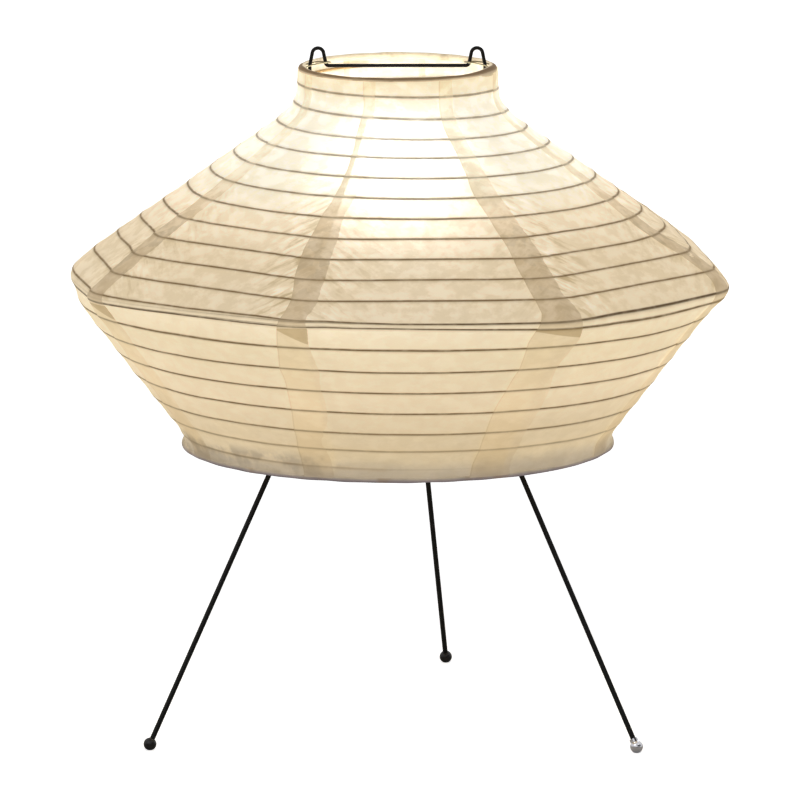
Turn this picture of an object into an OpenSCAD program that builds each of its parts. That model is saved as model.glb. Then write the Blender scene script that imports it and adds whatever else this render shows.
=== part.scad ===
// Paper lantern table lamp on three wire legs.
// A washi lantern over one wound bamboo rib hangs from a wire stretcher;
// the stretcher, the lampholder and the folding legs share one hollow stem.
// Millimetres, +Z up, origin on the table under the stem, front towards -Y.

/* [Shade] */
// Mean outside radius of the shade where its two slopes meet
rim_r = 252.6; // [235:0.2:265]
// Height at which the two slopes meet
rim_z = 350.5; // [340:0.5:360]
// Outside radius of the paper neck
neck_r = 77; // [74:0.5:82]
// Height where the neck starts to flare into the upper slope
flare_z = 480.9; // [475:0.1:488]
// Length over which the neck flares
flare_soft = 5.5; // [3:0.5:8]
// Length over which the widest edge is rounded
crest_soft = 12.6; // [8:0.2:15]
// Height where the lower slope meets the upright band at the bottom
band_z = 227; // [225:0.5:230]
// Length over which the bottom band turns into the slope
band_soft = 3; // [2:0.5:5]
// Azimuth of the first corner of the eight-sided plan, from the front
corner_az = -16; // [-22:1:22]
// How sharp the corners of the plan are
corner_sharpness = 30; // [20:1:60]
// Height above which the plan is round
corner_top_z = 430; // [420:1:440]
// Height over which the corners fade out at the top
corner_upper_fade = 35; // [30:1:50]
// Height below which the plan is round
corner_bottom_z = 325; // [315:1:328]
// Height over which the corners fade out at the bottom
corner_lower_fade = 26; // [22:1:34]
// Radial thickness of the paper
paper_t = 0.6; // [0.4:0.1:0.9]
// Width of the glued lap where one strip of paper covers the next, from the widest edge down
lap_w = 24; // [16:1:28]
// Width of the lap at the neck
neck_lap_w = 12; // [8:1:16]
// Height below the neck over which the lap widens
lap_growth = 110; // [60:5:130]
// Radial gap between the two papers of a lap
lap_gap = 0.2; // [0.1:0.05:0.4]

/* [Bamboo rib] */
// Diameter of the bamboo splint
rib_d = 2.2; // [1.6:0.1:2.6]
// Distance along the slope from one turn to the next
rib_pitch = 22; // [20:0.5:24]
// Gap between the splint and the paper
rib_gap = 0.5; // [0.4:0.05:0.8]
// Distance along the slope from the paper rolled round each ring to the nearest end of the splint
rib_end_gap = 5.1; // [4:0.1:12]

/* [Shade rings] */
// Centre radius of the top ring
top_ring_r = 73.2; // [72:0.2:73.6]
// Height of the top ring
top_ring_z = 509.4; // [507:0.2:512]
// Centre radius of the bottom ring
bottom_ring_r = 162; // [159:0.2:164]
// Height of the bottom ring
bottom_ring_z = 218.4; // [217.6:0.2:219]
// Diameter of the ring wire
ring_d = 2.6; // [2:0.1:3]
// Wall of the paper rolled round each ring
hem_t = 1.1; // [0.8:0.1:1.4]
// Diameter of the wire eyes on the top ring
eye_d = 2; // [1.6:0.1:2.4]

/* [Stretcher] */
// Diameter of the stretcher wire
wire_d = 2.8; // [2.4:0.1:3.2]
// Distance of each upright from the axis
upright_x = 67.3; // [66:0.1:68]
// Distance between the two legs of an ear
ear_w = 12.6; // [11:0.2:13]
// Height of an ear above the crossbar, between wire centres
ear_h = 13.6; // [12:0.2:18]
// How far each leg of an ear leans inwards for its height
ear_lean = 0.2; // [0.1:0.02:0.24]
// Height of the crossbar centre above the top ring centre
crossbar_lift = 2.2; // [1.8:0.1:3]
// Bend radius of the wire
wire_bend = 4; // [3:0.5:5]
// Length of the flat seat under the bottom ring
seat_len = 12; // [10:0.5:16]

/* [Hub] */
// Diameter of the hollow threaded stem
stem_d = 10; // [9.6:0.1:10.4]
// Diameter of the cord hole through the stem
stem_bore = 7; // [6:0.1:7.4]
// Height of the underside of the strap
strap_z = 326; // [322:0.5:330]
// Thickness of the strap
strap_t = 2; // [1.6:0.1:2.5]
// Width of the strap
strap_w = 16; // [14:0.5:20]
// Thickness of the clip rolled at each end of the strap
clip_t = 1.6; // [1.2:0.1:2]
// Height of the clip
clip_h = 16; // [12:0.5:18]
// Thickness of the flat washers
washer_t = 1; // [0.8:0.1:1.2]
// Outside diameter of the flat washers
washer_d = 20; // [18:0.5:24]
// Thickness of the stem nuts
nut_t = 4; // [3:0.25:5]
// Width across the flats of the stem nuts
nut_flats = 14; // [13:0.5:17]
// Radial gap of whatever turns or slides on the stem
stem_fit = 0.05; // [0.03:0.01:0.09]
// Axial play of each leg eye
eye_play = 0.1; // [0.05:0.05:0.15]

/* [Legs] */
// Diameter of the leg rods
leg_d = 4; // [3.6:0.1:4.6]
// Radius of the circle on which the feet stand
foot_circle_r = 222.5; // [216:0.5:234]
// Height at which the sloping legs would meet on the axis
leg_apex_z = 419.6; // [410:0.2:430]
// Outside diameter of the eye pressed into the end of a leg
leg_eye_d = 20; // [17:0.5:22]
// Thickness of a leg eye
leg_eye_t = 4; // [4:0.1:4.6]
// Bend radius of a leg
leg_bend = 9; // [7:0.5:12]
// Diameter of a ball foot
ball_d = 10; // [9:0.2:12]
// Height of the flat worn under each ball
ball_flat = 0.4; // [0.3:0.05:0.8]
// Azimuth of the left leg
left_az = -58.6; // [-62:0.1:-50]
// Azimuth of the right leg
right_az = 54.8; // [46:0.1:58]
// Azimuth of the back leg
back_az = 170.2; // [166:0.1:180]

/* [Lampholder and bulb] */
// Diameter of the lampholder shell
holder_d = 38; // [36:0.5:42]
// Height of the lampholder cap
cap_h = 17; // [15:0.5:20]
// Height of the lampholder shell
shell_h = 36; // [33:0.5:40]
// Wall of the lampholder
holder_t = 1.8; // [1.4:0.1:2.4]
// Diameter of the screw cap of the bulb
screw_d = 26; // [25.6:0.1:26.4]
// Height of the screw cap of the bulb
screw_h = 22; // [20:0.5:24]
// Gap between the screw cap and the screw shell round it
screw_gap = 0.3; // [0.2:0.05:0.4]
// Diameter of the bulb glass
bulb_d = 60; // [55:0.5:64]
// Length of the bulb from its tip contact to its crown
bulb_len = 102; // [98:0.5:106]
// Wall of the bulb glass
glass_t = 1; // [0.8:0.1:1.4]

/* [Hidden] */
$fn = 48;

// Gap at which one piece seats on another, and the smallest working gap
seat = 0.3;
slip = 0.05;
// A little more than a cut needs to break through
over = 1;

sides = 8;
side_angle = 360 / sides;

// Shade profile: mean radius against height
function softplus(x) = x > 30 ? x : ln(1 + exp(x));
function softmin(a, b, k) = min(a, b) - k * ln(1 + exp(-abs(a - b) / k));
band_r = bottom_ring_r + ring_d / 2 + hem_t + slip * 2 + paper_t;
crest_r = rim_r + crest_soft * ln(2);
upper_slope = (crest_r - neck_r) / (flare_z - rim_z);
lower_slope = (crest_r - band_r) / (rim_z - band_z);
function profile_r(z) = softmin(
    neck_r + upper_slope * flare_soft * softplus((flare_z - z) / flare_soft),
    band_r + lower_slope * band_soft * softplus((z - band_z) / band_soft),
    crest_soft);

// Plan of the shade: a rounded octagon at the widest part that turns into a circle
// above and below
function clamp01(x) = min(1, max(0, x));
function ease(x) = x * x * (3 - 2 * x);
function corner_share(z) =
    ease(clamp01((corner_top_z - z) / corner_upper_fade))
    * ease(clamp01((z - corner_bottom_z) / corner_lower_fade));
function sum(v, i = 0) = i < len(v) ? v[i] + sum(v, i + 1) : 0;
function side_reach(a) = pow(sum([for (k = [0:sides - 1])
    pow(max(0, cos(a - corner_az - (k + 0.5) * side_angle)), corner_sharpness)]),
    -1 / corner_sharpness);
reach_samples = [for (f = [1 / 32:1 / 16:1]) side_reach(corner_az + f * side_angle)];
mean_reach = sum(reach_samples) / len(reach_samples);
function shade_r(az, z) = profile_r(z)
    * (1 + corner_share(z) * (side_reach(az) / mean_reach - 1));
function around(r, az, z) = [r * sin(az), -r * cos(az), z];

// Heights of the rows of the paper, close together where the profile bends
paper_top_z = top_ring_z;
paper_bottom_z = bottom_ring_z;
row_z = concat(
    [paper_top_z, flare_z + 2 * flare_soft],
    [for (k = [1, 0, -1, -2.5]) flare_z + k * flare_soft],
    [for (f = [0, 0.3, 0.5, 0.7, 1]) corner_top_z - f * corner_upper_fade],
    [for (k = [1.5, 0.9, 0.45, 0.1, -0.2, -0.5, -1, -1.5, -2.2]) rim_z + k * crest_soft],
    [band_z + 5 * band_soft, band_z + 2 * band_soft, band_z],
    [paper_bottom_z]);

// Slant length down the profile from its top row
profile_points = [for (z = row_z) [profile_r(z), z]];
function slant(i) = i == 0 ? 0
    : slant(i - 1) + norm(profile_points[i] - profile_points[i - 1]);
slant_table = [for (i = [0:len(row_z) - 1]) [slant(i), row_z[i]]];
height_table = [for (i = [len(row_z) - 1:-1:0]) [row_z[i], slant(i)]];
widest_z = rim_z
    - crest_soft * ln(upper_slope / lower_slope) / (upper_slope + lower_slope);
crest_slant = lookup(widest_z, height_table);
slope_len = slant(len(row_z) - 1);

// Paper: one strip between two corners. Its first columns lap over the strip before
// it, at the azimuths that the hidden columns of that strip have.
lap_rise = paper_t + lap_gap;
joggle_angle = 1;
strip_end = 0.15;
lap_steps = [1, 0.5, 0];
plain_angles = [3.5, 7.5, 15, 22.5, 30];
function lap_angle(z) = (neck_lap_w + (lap_w - neck_lap_w)
    * ease(clamp01((flare_z - z) / lap_growth))) / profile_r(z) * 180 / PI;
function column_angles(z) = let(lap = lap_angle(z)) concat(
    -lap * lap_steps,
    [joggle_angle],
    plain_angles,
    [side_angle - lap, side_angle - lap / 2, side_angle - strip_end]);
columns = len(column_angles(rim_z));
risen_columns = len(lap_steps);
rows = len(row_z);
function strip_point(k, i, j, inset) = let(
        z = row_z[i],
        a = corner_az + (k - 1) * side_angle + column_angles(z)[j],
        rise = j < risen_columns ? lap_rise : 0)
    around(shade_r(a, z) + rise - inset, a, z);

module washi_panel(k) {
    outer = [for (i = [0:rows - 1]) for (j = [0:columns - 1]) strip_point(k, i, j, 0)];
    inner = [for (i = [0:rows - 1]) for (j = [0:columns - 1]) strip_point(k, i, j, paper_t)];
    n = rows * columns;
    function at(i, j) = i * columns + j;
    faces = concat(
        [for (i = [0:rows - 2]) for (j = [0:columns - 2]) for (f = [
            [at(i, j), at(i, j + 1), at(i + 1, j + 1)],
            [at(i, j), at(i + 1, j + 1), at(i + 1, j)],
            [n + at(i, j), n + at(i + 1, j + 1), n + at(i, j + 1)],
            [n + at(i, j), n + at(i + 1, j), n + at(i + 1, j + 1)]]) f],
        [for (i = [0:rows - 2]) for (f = [
            [at(i, 0), at(i + 1, 0), n + at(i + 1, 0)],
            [at(i, 0), n + at(i + 1, 0), n + at(i, 0)],
            [at(i, columns - 1), n + at(i + 1, columns - 1), at(i + 1, columns - 1)],
            [at(i, columns - 1), n + at(i, columns - 1), n + at(i + 1, columns - 1)]]) f],
        [for (j = [0:columns - 2]) for (f = [
            [at(0, j), n + at(0, j), n + at(0, j + 1)],
            [at(0, j), n + at(0, j + 1), at(0, j + 1)],
            [at(rows - 1, j), n + at(rows - 1, j + 1), n + at(rows - 1, j)],
            [at(rows - 1, j), at(rows - 1, j + 1), n + at(rows - 1, j + 1)]]) f]);
    color([0.93, 0.86, 0.72]) polyhedron(concat(outer, inner), faces, convexity = 6);
}

// Bamboo: one splint wound down the inside of the paper, 24 steps to a turn.
// The two turns beside the widest edge lie close together.
turn_steps = 24;
crest_az = 180;
rib_places = [[-20, -18.2], [-8.5, -8.17], [-1.5, -1.17], [-0.5, -0.12],
    [0.5, 0.12], [1.5, 0.87], [5.5, 5.05], [20, 17.74]];
turn_table = [for (p = rib_places) [p[1], p[0]]];
function rib_step(s) = (crest_az - corner_az
    + 360 * lookup((s - crest_slant) / rib_pitch, turn_table)) * turn_steps / 360;
end_slant = ring_d / 2 + hem_t + rib_end_gap;
rib_first = ceil(rib_step(end_slant));
rib_last = floor(rib_step(slope_len - end_slant));
function rib_az(i) = corner_az + i * 360 / turn_steps;
function rib_z(i) = lookup(crest_slant
    + rib_pitch * lookup((rib_az(i) - crest_az) / 360, rib_places), slant_table);
function lean(z) = norm([1, profile_r(z + 0.5) - profile_r(z - 0.5)]);
function rib_inset(z) = paper_t + (rib_d / 2 + rib_gap) * lean(z);
rib_points = [for (i = [rib_first:rib_last]) let(z = rib_z(i), a = rib_az(i))
    around(shade_r(a, z) - rib_inset(z), a, z)];

// The ends run straight for one diameter of the splint
rib_count = len(rib_points);
rib_path = concat(
    [rib_points[0] + rib_d * (rib_points[0] - rib_points[1]) / norm(rib_points[0] - rib_points[1])],
    rib_points,
    [rib_points[rib_count - 1] + rib_d * (rib_points[rib_count - 1] - rib_points[rib_count - 2])
        / norm(rib_points[rib_count - 1] - rib_points[rib_count - 2])]);
function flat_dir(v) = [v[0], v[1], 0] / norm([v[0], v[1]]);
function path_dir(p, i) = flat_dir(p[min(i + 1, len(p) - 1)] - p[max(i - 1, 0)]);

module tube_along(p, d, tube_sides) {
    n = len(p);
    points = [for (i = [0:n - 1]) let(t = path_dir(p, i), e = [t[1], -t[0], 0])
        for (k = [0:tube_sides - 1])
            p[i] + d / 2 * (cos(k * 360 / tube_sides) * e + [0, 0, sin(k * 360 / tube_sides)])];
    faces = concat(
        [for (i = [0:n - 2]) for (k = [0:tube_sides - 1]) let(
                a = i * tube_sides + k,
                b = i * tube_sides + (k + 1) % tube_sides)
            for (f = [[a, b, b + tube_sides], [a, b + tube_sides, a + tube_sides]]) f],
        [for (k = [1:tube_sides - 2]) [0, k + 1, k]],
        [for (k = [1:tube_sides - 2])
            [(n - 1) * tube_sides, (n - 1) * tube_sides + k, (n - 1) * tube_sides + k + 1]]);
    polyhedron(points, faces, convexity = 20);
}

function to_segment(q, a, b) = let(
        ab = b - a,
        t = clamp01((q - a) * ab / (ab * ab)))
    norm(q - a - t * ab);
rib_gap_found = min([for (i = [0:rib_count - 1])
    for (j = [i + turn_steps - 6:min(i + turn_steps + 6, rib_count - 2)])
        to_segment(rib_points[i], rib_points[j], rib_points[j + 1])]) - rib_d;

module bamboo_rib() {
    echo(rib_turns = (rib_last - rib_first) / turn_steps, least_gap_between_turns = rib_gap_found);
    color([0.62, 0.5, 0.33]) tube_along(rib_path, rib_d, 6);
}

// Bent round wire: straight runs between rounded corners of a flat path,
// drawn in the XY plane. A bend is a hair thicker than the runs that end in it.
bend_swell = 0.02;
run_lap = 0.1;
function unit(v) = v / norm(v);
function turn_of(p, i) = let(u = unit(p[i] - p[i - 1]), v = unit(p[i + 1] - p[i]))
    atan2(u[0] * v[1] - u[1] * v[0], u * v);
function corner_cut(p, i, bends) = i == 0 || i == len(p) - 1 ? 0
    : bends[i] * tan(abs(turn_of(p, i)) / 2);

module wire(p, bends, d) {
    for (i = [0:len(p) - 2]) {
        u = unit(p[i + 1] - p[i]);
        first_cut = i == 0 ? 0 : corner_cut(p, i, bends) - run_lap;
        last_cut = i == len(p) - 2 ? 0 : corner_cut(p, i + 1, bends) - run_lap;
        start = p[i] + u * first_cut;
        translate([start[0], start[1], 0]) rotate([0, 0, atan2(u[1], u[0])])
            rotate([0, 90, 0]) cylinder(h = norm(p[i + 1] - p[i]) - first_cut - last_cut, d = d);
    }
    for (i = [1:len(p) - 2]) {
        u = unit(p[i] - p[i - 1]);
        bend_turn = turn_of(p, i);
        hand = bend_turn > 0 ? 1 : -1;
        start = p[i] - u * corner_cut(p, i, bends);
        centre = start + hand * bends[i] * [-u[1], u[0]];
        first = atan2(start[1] - centre[1], start[0] - centre[0]);
        translate([centre[0], centre[1], 0])
            rotate([0, 0, hand > 0 ? first : first + bend_turn])
                rotate_extrude(angle = abs(bend_turn)) translate([bends[i], 0])
                    circle(d = d + bend_swell);
    }
}

// Shade rings and the paper rolled round them
module torus(r, d) {
    rotate_extrude() translate([r, 0]) circle(d = d);
}
hem_slip = 0.15;
module hem(ring_r, ring_z, fold_side) {
    translate([0, 0, ring_z]) rotate_extrude() translate([ring_r, 0]) difference() {
        circle(d = ring_d + 2 * hem_t);
        circle(d = ring_d + 2 * hem_slip);
        translate([0, fold_side * ring_d]) square([hem_t, 2 * ring_d], center = true);
    }
}
module top_ring() {
    color("gainsboro") translate([0, 0, top_ring_z]) torus(top_ring_r, ring_d);
}
module bottom_ring() {
    color("gainsboro") translate([0, 0, bottom_ring_z]) torus(bottom_ring_r, ring_d);
}

// Wire eyes of the top ring: each lies on the crossbar and rings an ear
crossbar_z = top_ring_z + crossbar_lift;
ear_in_x = upright_x - ear_w;
eye_lift = wire_d / 2 + seat + eye_d / 2;
eye_z = crossbar_z + eye_lift;
eye_reach_x = ear_in_x + ear_lean * eye_lift - wire_d / 2 - seat - eye_d / 2;
eye_tip_r = wire_d / 2 + seat + eye_d / 2;
eye_open = 11;
eye_round = 0.8;
eye_root_x = sqrt(pow(top_ring_r, 2) - pow(eye_open, 2));
eye_plan = [[eye_root_x, -eye_open], [eye_reach_x, -eye_tip_r], [eye_reach_x, eye_tip_r],
    [eye_root_x, eye_open]];
eye_foot_z = top_ring_z + ring_d / 2 + seat;
eye_post_wall = 0.6;
eye_post_d = eye_d + 2 * eye_post_wall;
eye_post_h = eye_z + eye_post_d / 2 - eye_foot_z;
module eye_posts(gap) {
    for (s = [-1, 1]) translate([eye_root_x, s * eye_open, eye_foot_z])
        cylinder(h = eye_post_h, d = eye_post_d + 2 * gap);
}
module ring_eyes() {
    color("silver") for (m = [0, 180]) rotate([0, 0, m]) {
        translate([0, 0, eye_z]) wire(eye_plan, [0, eye_round * eye_tip_r, eye_round * eye_tip_r, 0], eye_d);
        eye_posts(0);
    }
}
module top_hem() {
    color([0.86, 0.8, 0.68]) difference() {
        hem(top_ring_r, top_ring_z, -1);
        for (m = [0, 180]) rotate([0, 0, m]) eye_posts(slip * 2);
    }
}
module bottom_hem() {
    color([0.8, 0.75, 0.68]) hem(bottom_ring_r, bottom_ring_z, 1);
}

// Stretcher: crossbar, ears, uprights and the two arms under the bottom ring,
// all bent from one wire. The legs of an ear lean towards an apex that its bend rounds off.
ear_apex_h = ear_w / 2 / ear_lean;
ear_bend = (ear_apex_h - ear_h) / (1 / sin(atan(ear_lean)) - 1);
seat_z = bottom_ring_z - ring_d / 2 - hem_t - seat - wire_d / 2;
seat_out_x = bottom_ring_r + seat_len / 4;
seat_in_x = seat_out_x - seat_len;
knee_z = strap_z - clip_h / 2;
half_path = [[upright_x - ear_w, crossbar_z], [upright_x - ear_w / 2, crossbar_z + ear_apex_h],
    [upright_x, crossbar_z], [upright_x, knee_z], [seat_in_x, seat_z], [seat_out_x, seat_z]];
tight_bend = wire_bend * 0.75;
wide_bend = wire_bend * 2;
half_bends = [tight_bend, ear_bend, wide_bend, wide_bend, wire_bend, 0];
stretcher_path = concat(
    [for (i = [len(half_path) - 1:-1:0]) [-half_path[i][0], half_path[i][1]]],
    half_path);
stretcher_bends = concat([for (i = [len(half_bends) - 1:-1:0]) half_bends[i]], half_bends);
module stretcher() {
    color("black") rotate([90, 0, 0]) wire(stretcher_path, stretcher_bends, wire_d);
}

// Strap: flat bar on the stem with a clip rolled round each upright
strap_top_z = strap_z + strap_t;
clip_r = wire_d / 2 + slip * 2;
module strap() {
    color("dimgray") difference() {
        union() {
            translate([-upright_x, -strap_w / 2, strap_z]) cube([2 * upright_x, strap_w, strap_t]);
            for (s = [-1, 1]) translate([s * upright_x, 0, strap_top_z - strap_t / 2 - clip_h / 4])
                cylinder(h = clip_h, r = clip_r + clip_t, center = true);
        }
        for (s = [-1, 1]) {
            translate([s * upright_x, 0, strap_z]) cylinder(h = 3 * clip_h, r = clip_r, center = true);
            translate([s * (upright_x + strap_w / 2), 0, strap_z])
                cube([strap_w, 2 * clip_r - slip, 3 * clip_h], center = true);
            translate([s * (upright_x + strap_w / 2 - clip_r / 2), 0, strap_z + strap_t / 2])
                cube([strap_w - clip_r, strap_w + over, strap_t + over], center = true);
        }
        translate([0, 0, strap_z - over]) cylinder(h = strap_t + 2 * over, d = stem_d + 2 * stem_fit);
    }
}

// Stack on the stem, from the strap downwards: nut, washer, three leg eyes
// with a washer under each, and the lower nut
top_nut_z = strap_z - nut_t;
top_washer_z = top_nut_z - washer_t;
eye_step = leg_eye_t + 2 * eye_play + washer_t;
function eye_base_z(n) = top_washer_z - (n + 1) * eye_step + washer_t + eye_play;
lower_nut_z = top_washer_z - 3 * eye_step - nut_t;
stem_below_nut = 6;
stem_low_z = lower_nut_z - stem_below_nut;
holder_z = strap_top_z + washer_t;
stem_in_holder = 9;
stem_top_z = holder_z + stem_in_holder;
module stem_ring(z, h, d) {
    translate([0, 0, z]) difference() {
        cylinder(h = h, d = d);
        translate([0, 0, -over]) cylinder(h = h + 2 * over, d = stem_d + 2 * stem_fit);
    }
}
nut_corners = nut_flats / cos(30);
nut_round = 1.04;
module hex_nut(z) {
    translate([0, 0, z]) difference() {
        intersection() {
            cylinder(h = nut_t, d = nut_corners, $fn = 6);
            translate([0, 0, nut_t / 2]) sphere(d = nut_corners * nut_round);
        }
        translate([0, 0, -over]) cylinder(h = nut_t + 2 * over, d = stem_d + 2 * stem_fit);
    }
}
module stem() {
    color("goldenrod") translate([0, 0, stem_low_z]) difference() {
        cylinder(h = stem_top_z - stem_low_z, d = stem_d);
        translate([0, 0, -over]) cylinder(h = stem_top_z - stem_low_z + 2 * over, d = stem_bore);
    }
}
module upper_nut() { color("goldenrod") hex_nut(top_nut_z); }
module lower_nut() { color("goldenrod") hex_nut(lower_nut_z); }
module stem_washers() {
    color("silver") {
        stem_ring(strap_top_z, washer_t, washer_d);
        stem_ring(top_washer_z, washer_t, washer_d);
    }
}
module leg_washers() {
    color("silver") for (n = [0:2])
        stem_ring(eye_base_z(n) - eye_play - washer_t, washer_t, washer_d);
}

// Bush that guards the cord where it enters the stem from below
bush_wall = 0.6;
bush_up = 8;
bush_lip_t = 1.6;
bush_r = stem_bore / 2 - slip;
module cord_bush() {
    color("black") translate([0, 0, stem_low_z - bush_lip_t]) difference() {
        union() {
            cylinder(h = bush_lip_t, d = stem_d);
            cylinder(h = bush_lip_t + bush_up, r = bush_r);
        }
        translate([0, 0, -over]) cylinder(h = bush_lip_t + bush_up + 2 * over, r = bush_r - bush_wall);
    }
}

// Legs: an eye on the stem, a level run and a straight slope down to the ball
foot_z = ball_d / 2 - ball_flat;
function leg_r(z) = foot_circle_r * (leg_apex_z - z) / (leg_apex_z - foot_z);
leg_slope = unit([foot_circle_r, foot_z - leg_apex_z]);
socket_floor = 1;
socket_depth = ball_d / 2 - socket_floor;
leg_eye_wall = 2;
function leg_end() = [foot_circle_r, foot_z] - leg_slope * (ball_d / 2 - socket_depth);
module leg(n, az) {
    level_z = eye_base_z(n) + leg_eye_t / 2;
    path = [[stem_d / 2 + leg_eye_wall, level_z], [leg_r(level_z), level_z], leg_end()];
    color([0.08, 0.08, 0.08]) rotate([0, 0, az - 90]) difference() {
        union() {
            translate([0, 0, eye_base_z(n)]) cylinder(h = leg_eye_t, d = leg_eye_d);
            rotate([90, 0, 0]) wire(path, [0, leg_bend, 0], leg_d);
        }
        translate([0, 0, eye_base_z(n) - over])
            cylinder(h = leg_eye_t + 2 * over, d = stem_d + 2 * stem_fit);
    }
}
module leg_left() { leg(0, left_az); }
module leg_right() { leg(1, right_az); }
module leg_back() { leg(2, back_az); }

collar_len = 1.6;
collar_wall = 1.2;
module ball_foot(az, collar) {
    slope_angle = atan2(-leg_slope[1], leg_slope[0]);
    rotate([0, 0, az - 90]) translate([foot_circle_r, 0, foot_z]) difference() {
        union() {
            sphere(d = ball_d);
            if (collar > 0) rotate([0, slope_angle - 90, 0])
                cylinder(h = ball_d / 2 + collar, d = leg_d + 2 * collar_wall);
        }
        rotate([0, slope_angle - 90, 0]) translate([0, 0, ball_d / 2 - socket_depth - slip])
            cylinder(h = ball_d + collar, d = leg_d + 2 * slip);
        translate([0, 0, -foot_z - ball_d / 2])
            cube([2 * ball_d, 2 * ball_d, ball_d], center = true);
    }
}
module foot_left() { color([0.1, 0.1, 0.1]) ball_foot(left_az, 0); }
module foot_right() { color("gainsboro") ball_foot(right_az, collar_len); }
module foot_back() { color([0.1, 0.1, 0.1]) ball_foot(back_az, 0); }

// Lampholder: cap on the stem, shell over it, insert with the screw shell
cap_neck_wall = 4;
cap_neck_d = stem_d + 2 * cap_neck_wall;
cap_neck_h = 6;
shell_z = holder_z + cap_h;
flange_r = (holder_d - holder_t) / 2;
flange_h = 2;
lip_h = 3;
lip_t = 1;
module holder_cap() {
    color([0.12, 0.12, 0.12]) difference() {
        translate([0, 0, holder_z]) rotate_extrude() difference() {
            union() {
                square([cap_neck_d / 2, cap_neck_h]);
                intersection() {
                    square([holder_d / 2, cap_h]);
                    translate([0, cap_h]) circle(d = holder_d);
                }
            }
            intersection() {
                translate([0, cap_neck_h]) square([holder_d, cap_h]);
                translate([0, cap_h]) circle(d = holder_d - 2 * holder_t);
            }
        }
        translate([0, 0, holder_z - over]) cylinder(h = cap_h + 2 * over, d = stem_d + 2 * stem_fit);
    }
}
module holder_shell() {
    color([0.12, 0.12, 0.12]) translate([0, 0, shell_z]) rotate_extrude() difference() {
        union() {
            square([holder_d / 2, shell_h]);
            translate([0, shell_h - lip_h]) square([holder_d / 2 + lip_t, lip_h]);
        }
        translate([-over, -over]) square([holder_d / 2 - holder_t + over, shell_h + 2 * over]);
        translate([-over, -over]) square([flange_r + 2 * slip + over, flange_h + 2 * slip + over]);
    }
}

// Insert, screw shell and contacts. The flange of the insert is clamped between cap and shell.
tongue_t = 1.5;
tongue_d = 8;
insert_gap = 2;
insert_r = holder_d / 2 - holder_t - insert_gap;
insert_h = 10;
insert_sink = 3.8;
insert_z = shell_z - insert_sink;
insert_top_z = insert_z + insert_h;
shell_wall = 0.5;
shell_above_cap = 2;
screw_shell_h = screw_h + shell_above_cap;
screw_shell_r = screw_d / 2 + screw_gap;
contact_x = 8;
contact_depth = insert_h / 2;
contact_d = 4;
contact_hole_d = 5;
contact_head_d = 6;
contact_head_h = 2;
module holder_insert() {
    color("ivory") difference() {
        union() {
            translate([0, 0, insert_z]) cylinder(h = insert_h, r = insert_r);
            translate([0, 0, shell_z]) cylinder(h = flange_h, r = flange_r);
        }
        for (s = [-1, 1]) translate([s * contact_x, 0, insert_z - over])
            cylinder(h = contact_depth + over, d = contact_hole_d);
    }
}
module screw_shell() {
    color("goldenrod") translate([0, 0, insert_top_z]) difference() {
        cylinder(h = screw_shell_h, r = screw_shell_r + shell_wall);
        translate([0, 0, -over]) cylinder(h = screw_shell_h + 2 * over, r = screw_shell_r);
    }
}
module centre_contact() {
    color("goldenrod") translate([0, 0, insert_top_z]) cylinder(h = tongue_t, d = tongue_d);
}
module contact_screws() {
    color("goldenrod") for (s = [-1, 1]) translate([s * contact_x, 0, insert_z]) {
        cylinder(h = contact_depth - slip, d = contact_d);
        translate([0, 0, -contact_head_h]) cylinder(h = contact_head_h, d = contact_head_d);
    }
}

// Bulb: glass, screw cap, insulator and tip contact. The glass is a ball,
// a cone that starts just inside its surface and a neck that runs up inside the cone.
bulb_r = bulb_d / 2;
tip_z = insert_top_z + tongue_t + seat;
bulb_z = tip_z + bulb_len - bulb_r;
cone_angle = 25;
cone_sink = 0.2;
cap_wall = 1.6;
cap_floor = 1;
cap_hole_d = 12;
bulb_neck_r = screw_d / 2 - cap_wall;
insulator_top = 3;
bulb_cap_z = tip_z + insulator_top;
glass_in_cap = 6;
glass_low_z = bulb_cap_z + screw_h - glass_in_cap;
tip_d = 9;
tip_t = 1.1;
tip_pin_d = 6;
tip_pin_h = 4;
insulator_low = 1.2;
insulator_d = 11;
insulator_wide_d = 18;
module bulb_body(inset) {
    r = bulb_r - inset;
    neck = bulb_neck_r - inset;
    cone_r = (r - cone_sink) * cos(cone_angle);
    cone_top_z = bulb_z - (r - cone_sink) * sin(cone_angle);
    cone_h = (cone_r - neck + cone_sink) / tan(cone_angle);
    low_z = inset > 0 ? glass_low_z - over : glass_low_z;
    translate([0, 0, bulb_z]) sphere(r = r);
    translate([0, 0, cone_top_z - cone_h]) cylinder(h = cone_h, r1 = neck - cone_sink, r2 = cone_r);
    translate([0, 0, low_z]) cylinder(h = cone_top_z - low_z, r = neck);
}
module bulb_glass() {
    color([0.98, 0.96, 0.9]) difference() {
        bulb_body(0);
        bulb_body(glass_t);
    }
}
module bulb_screw_cap() {
    color("silver") translate([0, 0, bulb_cap_z]) difference() {
        cylinder(h = screw_h, d = screw_d);
        translate([0, 0, cap_floor]) cylinder(h = screw_h, r = bulb_neck_r + slip);
        translate([0, 0, -over]) cylinder(h = cap_floor + 2 * over, d = cap_hole_d);
    }
}
module bulb_insulator() {
    color([0.1, 0.1, 0.1]) difference() {
        translate([0, 0, tip_z + insulator_low])
            cylinder(h = insulator_top - insulator_low, d1 = insulator_d, d2 = insulator_wide_d);
        translate([0, 0, tip_z]) cylinder(h = screw_h, d = tip_pin_d + 2 * slip);
    }
}
module bulb_tip() {
    color("silver") translate([0, 0, tip_z]) {
        cylinder(h = tip_t, d = tip_d);
        cylinder(h = tip_pin_h, d = tip_pin_d);
    }
}

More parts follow.
